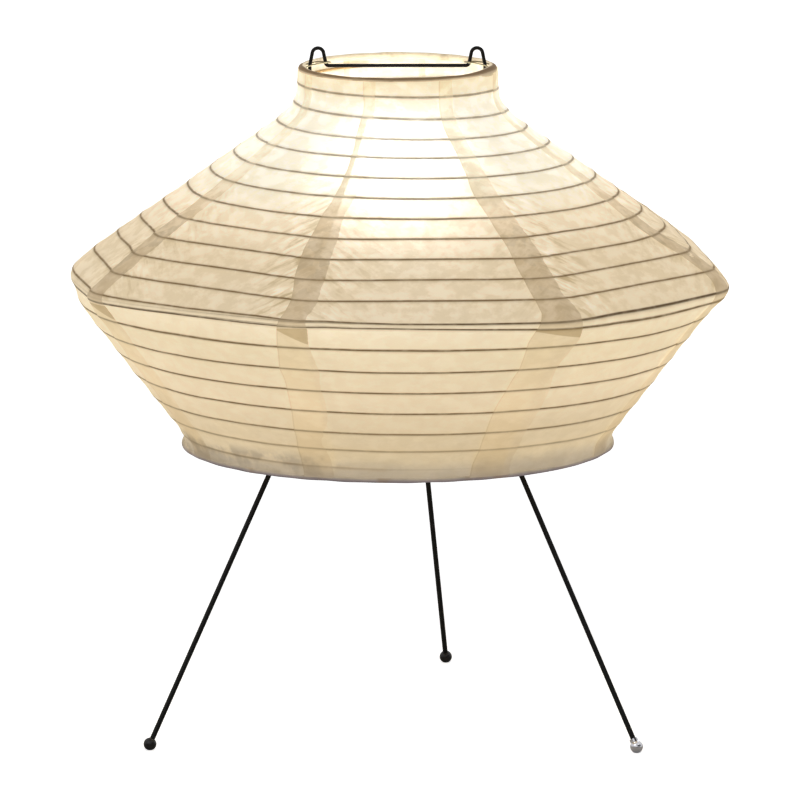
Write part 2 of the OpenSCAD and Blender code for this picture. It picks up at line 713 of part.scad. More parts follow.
washi_panel(1);  // washi_panel_1
washi_panel(2);  // washi_panel_2
washi_panel(3);  // washi_panel_3
washi_panel(4);  // washi_panel_4
washi_panel(5);  // washi_panel_5
washi_panel(6);  // washi_panel_6
washi_panel(7);  // washi_panel_7
washi_panel(8);  // washi_panel_8
bamboo_rib();
top_ring();
bottom_ring();
top_hem();
bottom_hem();
ring_eyes();
stretcher();
strap();
stem();
upper_nut();
lower_nut();
stem_washers();
leg_washers();
cord_bush();
holder_cap();
holder_shell();
holder_insert();
screw_shell();
centre_contact();
contact_screws();
bulb_glass();
bulb_screw_cap();
bulb_insulator();
bulb_tip();
leg_left();
leg_right();
leg_back();
foot_left();
foot_right();
foot_back();
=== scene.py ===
"""Looks of the rice paper table lamp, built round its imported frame.

The lengths below are millimetres, and an azimuth is in degrees from the front, -Y, towards +X.
Every mesh is in metres, +Z up.
"""

import math

import bpy
import numpy as np
from mathutils import Matrix, Vector


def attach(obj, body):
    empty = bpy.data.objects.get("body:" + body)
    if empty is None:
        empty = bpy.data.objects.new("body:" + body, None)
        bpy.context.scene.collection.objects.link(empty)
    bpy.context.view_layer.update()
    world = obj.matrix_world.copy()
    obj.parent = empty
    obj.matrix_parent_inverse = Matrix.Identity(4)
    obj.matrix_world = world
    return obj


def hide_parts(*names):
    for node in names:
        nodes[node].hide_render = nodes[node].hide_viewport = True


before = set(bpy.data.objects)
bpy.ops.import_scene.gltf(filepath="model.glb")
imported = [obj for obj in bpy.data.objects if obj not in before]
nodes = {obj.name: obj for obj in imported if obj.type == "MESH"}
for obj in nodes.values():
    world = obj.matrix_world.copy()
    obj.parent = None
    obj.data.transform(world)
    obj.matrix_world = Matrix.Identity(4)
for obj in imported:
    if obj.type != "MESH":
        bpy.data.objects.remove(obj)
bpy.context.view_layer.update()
MM = 0.001

# Shade profile: mean radius against height
RIM_R = 252.6
RIM_Z = 350.5
CREST_SOFT = 12.6
NECK_R = 77.0
FLARE_Z = 480.9
FLARE_SOFT = 5.5
BAND_Z = 227.0
BAND_R = 165.2
BAND_SOFT = 3.0
TOP_RING_Z = 509.4
TOP_RING_R = 73.2
BOTTOM_RING_Z = 218.4
BOTTOM_RING_R = 162.0

# Plan of the shade
SIDES = 8
SIDE_ANGLE = 360.0 / SIDES
CORNER_AZ = -16.0
CORNER_SHARPNESS = 30.0
CORNER_TOP_Z = 430.0
CORNER_UPPER_FADE = 35.0
CORNER_BOTTOM_Z = 325.0
CORNER_LOWER_FADE = 26.0

# Corners that hang slack above the rim: azimuth, height where the slack starts, share lost
SLACK_CORNERS = ((-106.0, 334.0, 1.6), (74.0, 372.0, 1.0))
SLACK_FADE = 22.0

# Crest line: azimuth, its rise in mm there, and how far its two turns spread against their mean
CREST_LINE = (
    (-90, 0.0, 1.0),
    (-75, 1.5, 0.95),
    (-62, 2.9, 0.88),
    (-40, 3.4, 0.8),
    (-25, 4.6, 1.0),
    (-12, 5.1, 0.8),
    (0, 3.1, 0.56),
    (11, 2.0, 0.64),
    (20, 1.5, 0.76),
    (38, 0.5, 1.15),
    (52, -0.7, 1.19),
    (66, 0.0, 1.05),
    (90, 0.0, 1.0),
)
CREST_AZ_STEPS, CREST_RISE, CREST_SPREAD = zip(*CREST_LINE)
CREST_REACH = 11.0

# Bamboo rib: turns are counted from the crest, where the winding passes the azimuth CREST_AZ, and
# RIB_INSET is the room for the paper outside it
RIB_PITCH = 22.0
RIB_D = 2.2
RIB_INSET = 1.1
CREST_AZ = 180.0
FIRST_TURN = -11.95
LAST_TURN = 7.5
RIB_STEPS_PER_TURN = 120
# Turns of the winding against pitches down the slope: the neck and the crest are wound closer
RIB_SPACING = (
    (-12.2, -11.02),
    (-11.75, -10.86),
    (-11.5, -10.76),
    (-11.25, -10.64),
    (-10.75, -10.19),
    (-10.5, -9.99),
    (-8.5, -8.17),
    (-1.5, -1.17),
    (-0.5, -0.12),
    (0.5, 0.12),
    (1.5, 0.87),
    (5.5, 5.05),
    (20.0, 17.74),
)
RIB_TURNS, RIB_PITCHES = zip(*RIB_SPACING)

# Folds of spare paper in the laps, drawn only as painted shade: way below the crest where they start,
# Their least depth, and how much deeper each gets across its lap
FOLD_TOP = 3.2
FOLD_DEPTH = 2.5
FOLD_SLANTS = (9.0, 10.0, 8.0, 5.0)

# Painted glow of the bulb's light through the paper, against height: dull at the bottom roll, cream
# up to a bright edge just under the crest, dimmer over the crest, and near white beside the bulb
GLOW_BOTTOM_Z = 210.0
GLOW_SPAN = 300.0
GLOW_BY_HEIGHT = [
    (219, (136, 121, 100)),
    (234, (184, 162, 122)),
    (250, (185, 163, 124)),
    (285, (202, 181, 145)),
    (328, (203, 184, 147)),
    (344, (210, 192, 158)),
    (350, (188, 169, 136)),
    (388, (189, 169, 135)),
    (412, (208, 190, 159)),
    (437, (217, 209, 187)),
    (462, (222, 216, 199)),
    (489, (218, 211, 192)),
    (503, (212, 197, 163)),
]

# Painted shade of a lap against height: two papers let less of the bulb's light through than one,
# most of all above the crest
LAP_SHADE_BY_HEIGHT = [
    (225, (244, 241, 237)),
    (250, (250, 247, 243)),
    (290, (251, 248, 243)),
    (335, (241, 237, 230)),
    (352, (222, 217, 211)),
    (400, (224, 219, 212)),
    (421, (237, 229, 219)),
    (470, (249, 245, 235)),
]

# Rolled hems: radius, and colour from their underside, 0, to their top, 1, with painted light and
# shade: the top hem darkens at its top into a painted shadow line at the opening, and the bottom
# hem's underside is painted darker and greyer as shade
TOP_HEM_R = 2.6
TOP_HEM_LIGHT_AND_SHADE = [
    (0.0, (230, 213, 178)),
    (0.4, (214, 196, 162)),
    (0.62, (194, 172, 142)),
    (0.74, (136, 114, 86)),
    (0.92, (112, 90, 62)),
]
BOTTOM_HEM_R = 2.9
BOTTOM_HEM_LIGHT_AND_SHADE = [
    (0.0, (98, 91, 96)),
    (0.15, (112, 103, 104)),
    (0.38, (142, 130, 124)),
    (0.62, (172, 158, 136)),
    (0.85, (188, 173, 144)),
]
# Rolls: points round the ring, points round the roll, and the length of the small waves
HEM_STEPS = 540
HEM_SIDES = 24
HEM_WAVE = 34.0
# Swellings of the rolls: azimuth, width in degrees and share of the radius
TOP_HEM_LUMPS = ((76.0, 16.0, 0.55), (-78.0, 7.0, 0.3), (-96.0, 6.0, 0.25), (12.0, 9.0, 0.12))
BOTTOM_HEM_LUMPS = ((-90.0, 14.0, 0.75), (90.0, 12.0, 0.75))

# Soft painted shadow of the bamboo on the paper under it
SHADOW_UNDER_RIB = 3.4

# Paper strips: rows down the slope, columns in the lap, and the other columns' angles from the
# corner; then the sag between ribs, the rise of a lap, the slack, the ragged edges of the laps and
# the pucker that the wrinkles give near a corner, each with the length of its waves
STRIP_ROWS = 240
LAP_COLUMNS = 11
STRIP_COLUMNS = np.concatenate(
    [np.linspace(0.4, 5.2, 13), np.linspace(6.5, SIDE_ANGLE - 4.0, 23), [42.3, 43.4, 44.2, 44.8]]
)
SCALLOP = 0.9
LAP_RISE = 0.8
SLACK = 0.35
SLACK_WAVE = 55.0
RAGGED = 0.8
RAGGED_WAVE = 45.0
PUCKER = 0.5
PUCKER_WAVE = 14.0
PUCKER_REACH = 64.0
PUCKER_FADE = 52.0
# Laps: by height, the azimuths of both edges from their corner, for the two in front and, as 0,
# for the rest
LAP_HEIGHTS = (230, 276, 311, 333, 357, 367, 398, 421, 439, 500)
LAP_STARTS = {
    1: (-9.8, -7.2, -6.5, -5.2, -3.5, -3.0, -5.0, -4.0, -2.0, -4.2),
    2: (-9.6, -8.2, -5.8, -5.8, -4.2, -4.4, -4.8, -5.5, -6.0, -5.0),
    0: (-9.6, -7.6, -6.2, -5.5, -3.8, -3.8, -4.9, -4.8, -4.2, -4.6),
}
LAP_ENDS = {
    1: (-1.5, 0.5, 1.2, 0.5, 0.8, 2.0, 2.0, 2.0, 4.2, 3.0),
    2: (2.0, 2.5, 2.8, 4.0, 2.2, 1.5, 2.2, 2.5, 2.2, 3.8),
    0: (0.5, 1.5, 2.0, 2.0, 1.5, 1.8, 2.1, 2.2, 3.0, 3.4),
}
# Wrinkles beside the laps: share at the left and right of a strip, and, as 0, of the rest
WRINKLES = {1: (0.55, 0.3), 2: (1.0, 0.5), 8: (0.5, 1.1), 0: (0.6, 0.6)}

# Painted light and shade of the wrinkles: streaks per metre across and along, and how bright and dark
# they get
STREAK_SCALE_ACROSS = 165.0
STREAK_SCALE_ALONG = 28.0
STREAK_BRIGHT = 0.18
STREAK_DARK = 0.25
BLOB_SHADE = 0.13
# Step in the noise from one gap between ribs to the next, so that they don't look alike
NOISE_APART = 7.3
# Powers of the wrinkles' painted light and shade factor in red, green and blue, which turn the
# painted shade brown
WRINKLE_SHADE_TINT = (1.0, 1.2, 1.7)

# Width of the band over the crest, down the slope, where the bamboo's painted shadow lines are wider
# and darker
CREST_LINE_WIDTH = 3.6
# Colour of the paper where it isn't lit from behind, as linear light
PAPER_SKIN = (0.42, 0.41, 0.38, 1)

# Bulb: heights in metres between which its glow goes from the dimmer neck to full
BULB_NECK_Z = (0.375, 0.415)

# Splint and wires: points round the section
WIRE_SIDES = 8

# Wire eyes that ring the ears of the stretcher
EYE_Z = 514.3
EYE_REACH_X = 51.5
EYE_ROOT_X = 71.0
EYE_OPEN = 9.0
EYE_WIRE_R = 0.6
EYE_DIP = 3.2

# Camera: a long lens, its place in metres, and degrees down from level and rolled
LENS = 430.56
CAMERA_PLACE = (0.0016, -7.2772, 1.5211)
CAMERA_DOWN = 9.9
CAMERA_ROLL = -0.08

# Lamps: place in metres, size in metres and power
LAMP_AIM = (0, 0, 0.3)
LAMPS = {
    "key": ((-1.6, -2.2, 2.4), 1.6, 15.0),
    "fill": ((2.2, -1.6, 1.6), 1.8, 8.0),
    "back": ((0.6, 2.4, 2.2), 1.6, 9.0),
}
# Strength of the world as a light, and as what is seen in it
WORLD_LIGHT = 0.18
WORLD_SEEN = 1.0
# Floor: radii of its rings of points, and its own glow for the camera alone, under the lamp and
# far away, with the distances in metres between which it changes
FLOOR_RINGS = (0.0, 300.0, 1000.0, 3000.0, 9000.0)
FLOOR_SIDES = 96
FLOOR_NEAR_GLOW = 0.78
FLOOR_FAR_GLOW = 1.0
FLOOR_FADE = (0.5, 2.4)
# Dark cards that the polished foot reflects: radius, first and last azimuth, low and high edge
CARDS = {
    "side_card": (1250.0, 22.0, 80.0, 250.0, 850.0),
    "low_card": (1000.0, -70.0, 60.0, 1.0, 105.0),
}


def set_camera():
    """A long lens in front of the lamp, a little above it and turned down on it."""
    data = bpy.data.cameras.new("camera")
    data.sensor_width = 36.0
    data.lens = LENS
    data.clip_end = 50.0
    camera = bpy.data.objects.new("camera", data)
    bpy.context.collection.objects.link(camera)
    tilt = Matrix.Rotation(math.radians(90 - CAMERA_DOWN), 4, "X")
    roll = Matrix.Rotation(math.radians(CAMERA_ROLL), 4, "Z")
    camera.matrix_world = Matrix.Translation(CAMERA_PLACE) @ tilt @ roll
    bpy.context.scene.camera = camera


def area_lamp(name, place, size, power):
    """A square soft lamp at place that shines on the lamp's middle."""
    data = bpy.data.lights.new(name, "AREA")
    data.size = size
    data.energy = power
    lamp = bpy.data.objects.new(name, data)
    bpy.context.collection.objects.link(lamp)
    lamp.location = place
    away = lamp.location - Vector(LAMP_AIM)
    lamp.rotation_euler = away.to_track_quat("Z", "Y").to_euler()


class Tree:
    """Short names for building a node tree."""

    def __init__(self, tree):
        self.tree = tree

    def node(self, kind, **values):
        made = self.tree.nodes.new(kind)
        for key, value in values.items():
            setattr(made, key, value)
        return made

    def put(self, socket, value):
        """Link a socket to an output, or set it to a plain value."""
        if isinstance(value, bpy.types.NodeSocket):
            self.tree.links.new(value, socket)
        elif value is not None:
            socket.default_value = value

    def math(self, operation, a, b=None, c=None, clamp=False):
        made = self.node("ShaderNodeMath", operation=operation, use_clamp=clamp)
        for socket, value in zip(made.inputs, (a, b, c)):
            self.put(socket, value)
        return made.outputs[0]

    def mix(self, factor, a, b, blend="MIX"):
        made = self.node("ShaderNodeMix", data_type="RGBA", blend_type=blend)
        self.put(made.inputs[0], factor)
        self.put(made.inputs[6], a)
        self.put(made.inputs[7], b)
        return made.outputs[2]

    def step(self, value, low, high, to_low=0.0, to_high=1.0):
        """A smooth step from to_low, at low, to to_high, at high."""
        made = self.node("ShaderNodeMapRange", interpolation_type="SMOOTHSTEP")
        for socket, given in zip(made.inputs, (value, low, high, to_low, to_high)):
            self.put(socket, given)
        return made.outputs[0]

    def noise(self, vector, scale, detail=3.0, roughness=0.5):
        made = self.node("ShaderNodeTexNoise")
        self.put(made.inputs["Vector"], vector)
        self.put(made.inputs["Scale"], scale)
        made.inputs["Detail"].default_value = detail
        made.inputs["Roughness"].default_value = roughness
        return made.outputs["Fac"]

    def scaled(self, vector, factors):
        """A vector with each part times its own factor."""
        made = self.node("ShaderNodeVectorMath", operation="MULTIPLY")
        self.put(made.inputs[0], vector)
        made.inputs[1].default_value = factors
        return made.outputs[0]

    def ramp(self, value, stops):
        """A colour ramp through stops of a place, 0 to 1, and a display colour."""
        made = self.node("ShaderNodeValToRGB")
        self.put(made.inputs[0], value)
        elements = made.color_ramp.elements
        while len(elements) < len(stops):
            elements.new(0.5)
        for element, (place, colour) in zip(elements, stops):
            element.position = place
            element.color = linear(colour)
        return made.outputs[0]

    def attribute(self, name):
        """A value that the mesh carries at each of its points."""
        return self.node("ShaderNodeAttribute", attribute_name=name).outputs["Fac"]


def linear(colour):
    """A display colour of 0 to 255 as linear red, green, blue, alpha."""
    value = np.array(colour, float) / 255
    lin = np.where(value <= 0.04045, value / 12.92, ((value + 0.055) / 1.055) ** 2.4)
    return (*lin.tolist(), 1.0)


def group(name, inputs, outputs):
    """A shader node group with named inputs and outputs, and its tree."""
    made = bpy.data.node_groups.new(name, "ShaderNodeTree")
    for kind, label in inputs:
        made.interface.new_socket(label, in_out="INPUT", socket_type=kind)
    for kind, label in outputs:
        made.interface.new_socket(label, in_out="OUTPUT", socket_type=kind)
    return made, Tree(made), made.nodes.new("NodeGroupInput"), made.nodes.new("NodeGroupOutput")


def use_group(tree, made, **values):
    """A group put to use in a tree, with its inputs given by name."""
    used = tree.node("ShaderNodeGroup", node_tree=made)
    for key, value in values.items():
        tree.put(used.inputs[key.replace("_", " ")], value)
    return used


def new_material(name, **fixed):
    """A material, its tree and its Principled shader with the sockets that are the same all over."""
    made = bpy.data.materials.new(name)
    made.use_nodes = True
    tree = Tree(made.node_tree)
    shader = made.node_tree.nodes["Principled BSDF"]
    for key, value in fixed.items():
        shader.inputs[key.replace("_", " ")].default_value = value
    return made, tree, shader


def bump(tree, shader, height, strength, distance):
    """Small relief from a height that is in the shader's normal only."""
    made = tree.node("ShaderNodeBump")
    made.inputs["Strength"].default_value = strength
    made.inputs["Distance"].default_value = distance
    tree.put(made.inputs["Height"], height)
    tree.put(shader.inputs["Normal"], made.outputs[0])


def washi_fibre_group():
    """Cloudy pulp and fine fibres as a factor near 1, and a height for the bump."""
    made, t, enter, leave = group(
        "washi_fibre",
        [("NodeSocketVector", "Vector"), ("NodeSocketFloat", "Strength")],
        [("NodeSocketFloat", "Factor"), ("NodeSocketFloat", "Height")],
    )
    vector = enter.outputs["Vector"]
    cloud = t.noise(vector, 55.0, 4.0, 0.6)
    broad = t.noise(vector, 14.0, 2.0)
    fibre = t.noise(t.scaled(vector, (1.0, 4.0, 2.2)), 160.0, 3.0, 0.7)
    mixed = t.math("ADD", t.math("MULTIPLY", cloud, 0.5), t.math("MULTIPLY", broad, 0.5))
    mixed = t.math("MULTIPLY_ADD", fibre, 0.25, mixed)
    centred = t.math("SUBTRACT", mixed, 0.625)
    factor = t.math("MULTIPLY_ADD", centred, enter.outputs["Strength"], 1.0)
    t.put(leave.inputs["Factor"], factor)
    t.put(leave.inputs["Height"], mixed)
    return made


def rib_shadow_line_group():
    """Depth, 0 to 1, of the bamboo's painted shadow: the brown line where it blocks the bulb's light
    through the paper, with a soft painted shadow under it. Phase is a whole number on the bamboo, and
    the pitch and half width are in mm."""
    made, t, enter, leave = group(
        "rib_shadow_line",
        [
            ("NodeSocketFloat", "Phase"),
            ("NodeSocketFloat", "Pitch"),
            ("NodeSocketVector", "Vector"),
            ("NodeSocketFloat", "Half Width"),
        ],
        [("NodeSocketFloat", "Depth")],
    )
    vector, pitch, half = (enter.outputs[name] for name in ("Vector", "Pitch", "Half Width"))
    wander = t.math("SUBTRACT", t.noise(vector, 45.0, 2.0), 0.5)
    turn = t.math("FRACT", t.math("MULTIPLY_ADD", wander, 0.03, enter.outputs["Phase"]))
    off = t.math("ABSOLUTE", t.math("SUBTRACT", turn, 0.5))
    distance = t.math("MULTIPLY", t.math("SUBTRACT", 0.5, off), pitch)
    core = t.step(distance, t.math("MULTIPLY", half, 1.9), t.math("MULTIPLY", half, 0.25))
    shadow = t.step(t.math("MULTIPLY", turn, pitch), SHADOW_UNDER_RIB, 0.4, 0.0, 0.3)
    patchy = t.step(t.noise(vector, 90.0, 3.0, 0.6), 0.2, 0.6, 0.75, 1.0)
    t.put(leave.inputs["Depth"], t.math("MULTIPLY", t.math("MAXIMUM", core, shadow), patchy))
    return made


WASHI_FIBRE = washi_fibre_group()
RIB_SHADOW_LINE = rib_shadow_line_group()


def level_at(z):
    """The level attribute of the paper at a height in mm: 0 to 1 over the shade."""
    return (z - GLOW_BOTTOM_Z) / GLOW_SPAN


def by_level(stops):
    """Stops of a height in mm and a display colour, as stops of the level attribute."""
    return [(level_at(z), colour) for z, colour in stops]


def wrinkle_group():
    """Wrinkles as a factor near 1 of painted light and shade, and a height: bright and dark streaks
    that start anew in each gap between two ribs, and soft blobs between them."""
    made, t, enter, leave = group(
        "wrinkles",
        [
            ("NodeSocketVector", "Vector"),
            ("NodeSocketVector", "Streak Map"),
            ("NodeSocketFloat", "Phase"),
            ("NodeSocketFloat", "Near"),
            ("NodeSocketFloat", "Upper"),
        ],
        [("NodeSocketFloat", "Factor"), ("NodeSocketFloat", "Height")],
    )
    gap = t.math("MULTIPLY", t.math("FLOOR", enter.outputs["Phase"]), NOISE_APART)
    split = t.node("ShaderNodeSeparateXYZ")
    t.put(split.inputs[0], enter.outputs["Streak Map"])
    joined = t.node("ShaderNodeCombineXYZ")
    t.put(joined.inputs[0], t.math("MULTIPLY", split.outputs["X"], STREAK_SCALE_ACROSS))
    t.put(joined.inputs[1], t.math("MULTIPLY", split.outputs["Y"], STREAK_SCALE_ALONG))
    t.put(joined.inputs[2], gap)
    streak = t.noise(joined.outputs[0], 1.0, 2.0, 0.5)
    bright = t.step(streak, 0.53, 0.66, 0.0, STREAK_BRIGHT)
    dark = t.step(streak, 0.48, 0.34, 0.0, STREAK_DARK)
    streaks = t.math("MULTIPLY", t.math("SUBTRACT", bright, dark), enter.outputs["Near"])

    lumps = t.noise(t.scaled(enter.outputs["Vector"], (1.0, 1.0, 1.5)), 75.0, 4.0, 0.6)
    blob = t.math("SUBTRACT", t.step(lumps, 0.4, 0.62), 0.5)
    soft = t.math("MULTIPLY", t.math("MULTIPLY", blob, BLOB_SHADE), enter.outputs["Upper"])
    t.put(leave.inputs["Factor"], t.math("ADD", t.math("ADD", streaks, soft), 1.0))
    t.put(leave.inputs["Height"], t.math("MULTIPLY_ADD", streak, enter.outputs["Near"], blob))
    return made


WRINKLE = wrinkle_group()


def lap_shading(t, place, level, lap):
    """The painted shade of a lap, where two papers let less light through: dimmer in patches above
    the crest, with a brown line along its free edge and a darker painted shade of a fold of spare
    paper under the crest."""
    patch = t.step(t.noise(place, 75.0, 2.0), 0.5, 0.56)
    patch = t.math("MULTIPLY", patch, t.step(level, level_at(360), level_at(378), 0.0, 0.13))
    patch = t.math("MULTIPLY", patch, t.step(level, level_at(396), level_at(426), 1.0, 0.3))
    tint = t.mix(patch, t.ramp(level, by_level(LAP_SHADE_BY_HEIGHT)), (0.1, 0.1, 0.08, 1))
    shade = t.mix(lap, (1, 1, 1, 1), tint)
    border = t.step(t.attribute("lap_edge_mm"), 1.6, 0.2, 0.0, 0.3)
    shade = t.mix(border, shade, (0.6, 0.55, 0.45, 1))
    # Painted shade of the fold of spare paper under the crest
    fold = t.math("MULTIPLY", t.step(t.attribute("fold_mm"), 0.0, 0.8), lap)
    return t.mix(t.math("MULTIPLY", fold, 0.7), shade, (0.5, 0.42, 0.28, 1))


def rib_shadow_depth(t, place, level, lap, phase):
    """How deep the bamboo's painted shadow line is at each place: fainter in laps, by the bulb and at
    the bottom.
    """
    line = use_group(
        t, RIB_SHADOW_LINE, Phase=phase, Pitch=t.attribute("rib_pitch"), Vector=place,
        Half_Width=t.math("MULTIPLY_ADD", t.attribute("crest_near"), 0.2, 0.85),
    )
    depth = t.math("MULTIPLY", line.outputs["Depth"], t.attribute("rib_here"))
    depth = t.math("MULTIPLY", depth, t.step(lap, 0.0, 1.0, 1.0, 0.72))
    depth = t.math("MULTIPLY", depth, t.step(level, level_at(396), level_at(480), 0.95, 0.75))
    return t.math("MULTIPLY", depth, t.step(level, level_at(234), level_at(270), 0.55, 1.0))


def stained(t, place, side, level, glow):
    """Glow with brown stains of old glue just above the bottom hem, most of them on the left."""
    patches = t.step(t.noise(place, 30.0, 4.0, 0.6), 0.42, 0.56)
    low = t.step(level, level_at(240), level_at(231))
    beside = t.step(side, -0.03, -0.09, 0.15, 0.6)
    share = t.math("MULTIPLY", t.math("MULTIPLY", patches, low), beside)
    return t.mix(share, glow, linear((92, 74, 44)))


def washi_material():
    """Lit washi that lets the bulb through softly, with more of the bulb's light painted into its
    emission: glow by height, the painted shade of laps, the bamboo's painted shadow lines and the
    wrinkles' painted light and shade.
    """
    made, t, shader = new_material(
        "washi_lit", Roughness=0.9, IOR=1.45, Transmission_Weight=0.25, Emission_Strength=1.0
    )
    place = t.node("ShaderNodeTexCoord").outputs["Object"]
    split = t.node("ShaderNodeSeparateXYZ")
    t.put(split.inputs[0], place)
    side = split.outputs["X"]
    level = t.attribute("level")
    phase = t.attribute("rib_phase")

    # Painted shade: the paper on the +X side above the crest is darkened towards brown
    painted_far_side_shade = t.step(side, 0.12, 0.26)
    painted_far_side_shade = t.math("MULTIPLY", painted_far_side_shade, t.step(level, level_at(336), level_at(360), 0.0, 0.12))
    glow = t.ramp(level, by_level(GLOW_BY_HEIGHT))
    glow = t.mix(painted_far_side_shade, glow, (0.45, 0.35, 0.22, 1))

    fibre = use_group(t, WASHI_FIBRE, Vector=place, Strength=0.28)
    wrinkle = use_group(
        t, WRINKLE, Vector=place, Streak_Map=t.node("ShaderNodeUVMap", uv_map="crease").outputs[0],
        Phase=phase, Near=t.attribute("crease_near"),
        Upper=t.step(level, level_at(342), level_at(360), 0.35, 1.0),
    )
    wrinkle_shading = t.node("ShaderNodeCombineColor")
    for socket, power in zip(wrinkle_shading.inputs, WRINKLE_SHADE_TINT):
        t.put(socket, t.math("POWER", wrinkle.outputs["Factor"], power))
    glow = t.mix(1.0, glow, fibre.outputs["Factor"], "MULTIPLY")
    glow = t.mix(1.0, glow, wrinkle_shading.outputs[0], "MULTIPLY")

    torn = t.math("SUBTRACT", t.noise(place, 60.0, 3.0, 0.7), 0.5)
    lap = t.step(t.math("MULTIPLY_ADD", torn, 4.0, t.attribute("lap_mm")), -0.4, 0.4)
    lap_shade = lap_shading(t, place, level, lap)
    glow = t.mix(1.0, glow, lap_shade, "MULTIPLY")
    glow = stained(t, place, side, level, glow)

    depth = rib_shadow_depth(t, place, level, lap, phase)
    # Painted shadow colour of the bamboo, darker near the crest where the paper folds
    brown = t.mix(t.attribute("crest_near"), linear((92, 70, 34)), linear((34, 22, 6)))
    # Emission: the bulb's light through the paper as painted glow, with the bamboo's painted shadow
    # over it
    t.put(shader.inputs["Emission Color"], t.mix(depth, glow, brown))

    # The same painted shadow lines and painted lap shade also darken the paper's own colour
    lines = t.mix(depth, lap_shade, (0.16, 0.11, 0.06, 1))
    skin = t.mix(1.0, PAPER_SKIN, lines, "MULTIPLY")
    t.put(shader.inputs["Base Color"], t.mix(1.0, skin, wrinkle_shading.outputs[0], "MULTIPLY"))
    relief = t.math("MULTIPLY_ADD", wrinkle.outputs["Height"], 0.8, fibre.outputs["Height"])
    bump(t, shader, relief, 0.25, 0.0012)
    return made


def grid_mesh(name, points, wrap_rows=False, wrap_columns=False, uv_maps=(), values=()):
    """A smooth mesh over a rows by columns grid of points. Rows or columns may close on themselves,
    each uv map is a rows by columns by 2 array, and each value a rows by columns array."""
    rows, columns = points.shape[:2]
    index = np.arange(rows * columns).reshape(rows, columns)
    down = np.vstack([index, index[:1]]) if wrap_rows else index
    across = np.hstack([down, down[:, :1]]) if wrap_columns else down
    corners = across[:-1, :-1], across[1:, :-1], across[1:, 1:], across[:-1, 1:]
    quads = np.stack(corners, axis=-1).reshape(-1, 4)
    mesh = bpy.data.meshes.new(name)
    mesh.vertices.add(rows * columns)
    mesh.vertices.foreach_set("co", (points * MM).astype(np.float32).ravel())
    mesh.loops.add(quads.size)
    mesh.loops.foreach_set("vertex_index", quads.ravel().astype(np.int32))
    mesh.polygons.add(len(quads))
    mesh.polygons.foreach_set("loop_start", np.arange(0, quads.size, 4, dtype=np.int32))
    mesh.polygons.foreach_set("loop_total", np.full(len(quads), 4, dtype=np.int32))
    mesh.update(calc_edges=True)
    mesh.shade_smooth()
    for label, grid in uv_maps:
        layer = mesh.uv_layers.new(name=label)
        layer.data.foreach_set("uv", grid.reshape(-1, 2)[quads.ravel()].astype(np.float32).ravel())
    for label, grid in values:
        attribute = mesh.attributes.new(label, "FLOAT", "POINT")
        attribute.data.foreach_set("value", grid.astype(np.float32).ravel())
    made = bpy.data.objects.new(name, mesh)
    bpy.context.collection.objects.link(made)
    return made


def dress(obj, made, body):
    """Give a piece its material and slot, and make it move with a body."""
    obj.data.materials.append(made)
    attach(obj, body)


def softplus(x):
    """0 far below 0 and x far above it, with a soft bend between."""
    return np.logaddexp(0.0, x)


CREST_R = RIM_R + CREST_SOFT * math.log(2)
UPPER_SLOPE = (CREST_R - NECK_R) / (FLARE_Z - RIM_Z)
LOWER_SLOPE = (CREST_R - BAND_R) / (RIM_Z - BAND_Z)
WIDEST_Z = RIM_Z - CREST_SOFT * math.log(UPPER_SLOPE / LOWER_SLOPE) / (UPPER_SLOPE + LOWER_SLOPE)


def profile_r(z):
    """Mean radius: a flared neck and an upper slope, a lower slope and a short upright band, and
    the smaller of the two blended softly at the crest."""
    upper = NECK_R + UPPER_SLOPE * FLARE_SOFT * softplus((FLARE_Z - z) / FLARE_SOFT)
    lower = BAND_R + LOWER_SLOPE * BAND_SOFT * softplus((z - BAND_Z) / BAND_SOFT)
    return -CREST_SOFT * np.logaddexp(-upper / CREST_SOFT, -lower / CREST_SOFT)


def ease(x):
    """A smooth step from 0 to 1 as x goes from 0 to 1."""
    x = np.clip(x, 0.0, 1.0)
    return x * x * (3 - 2 * x)


def side_reach(azimuth):
    """Reach of a rounded octagon of apothem 1: the power mean of its eight side normals."""
    total = 0.0
    for side in range(SIDES):
        turn = np.radians(azimuth - CORNER_AZ - (side + 0.5) * SIDE_ANGLE)
        total = total + np.maximum(0.0, np.cos(turn)) ** CORNER_SHARPNESS
    return total ** (-1 / CORNER_SHARPNESS)


MEAN_REACH = side_reach(CORNER_AZ + SIDE_ANGLE * (np.arange(16) + 0.5) / 16).mean()


def shade_r(azimuth, z):
    """Profile radius on a round plan that turns into a rounded octagon near the widest part."""
    share = ease((CORNER_TOP_Z - z) / CORNER_UPPER_FADE)
    share = share * ease((z - CORNER_BOTTOM_Z) / CORNER_LOWER_FADE)
    for corner, start, loss in SLACK_CORNERS:
        away = np.abs(np.mod(azimuth - corner + 180, 360) - 180)
        share = share * (1 - loss * ease(1 - away / SIDE_ANGLE) * ease((z - start) / SLACK_FADE))
    return profile_r(z) * (1 + share * (side_reach(azimuth) / MEAN_REACH - 1))


# Way down the slope from the top ring, against height
FINE_Z = np.linspace(TOP_RING_Z, BOTTOM_RING_Z, 3000)
FINE_STEPS = np.hypot(np.diff(FINE_Z), np.diff(profile_r(FINE_Z)))
FINE_SLANT = np.concatenate([[0.0], np.cumsum(FINE_STEPS)])
CREST_SLANT = np.interp(WIDEST_Z, FINE_Z[::-1], FINE_SLANT[::-1])
FULL_SLANT = FINE_SLANT[-1]


def around(radius, azimuth, z):
    """Points at a radius, an azimuth and a height."""
    turn = np.radians(azimuth)
    return np.stack([radius * np.sin(turn), -radius * np.cos(turn), z + 0 * turn], axis=-1)


def section_angles(sides):
    """The angles round a closed section, as one row."""
    return np.linspace(0, 2 * math.pi, sides + 1)[None, :-1]


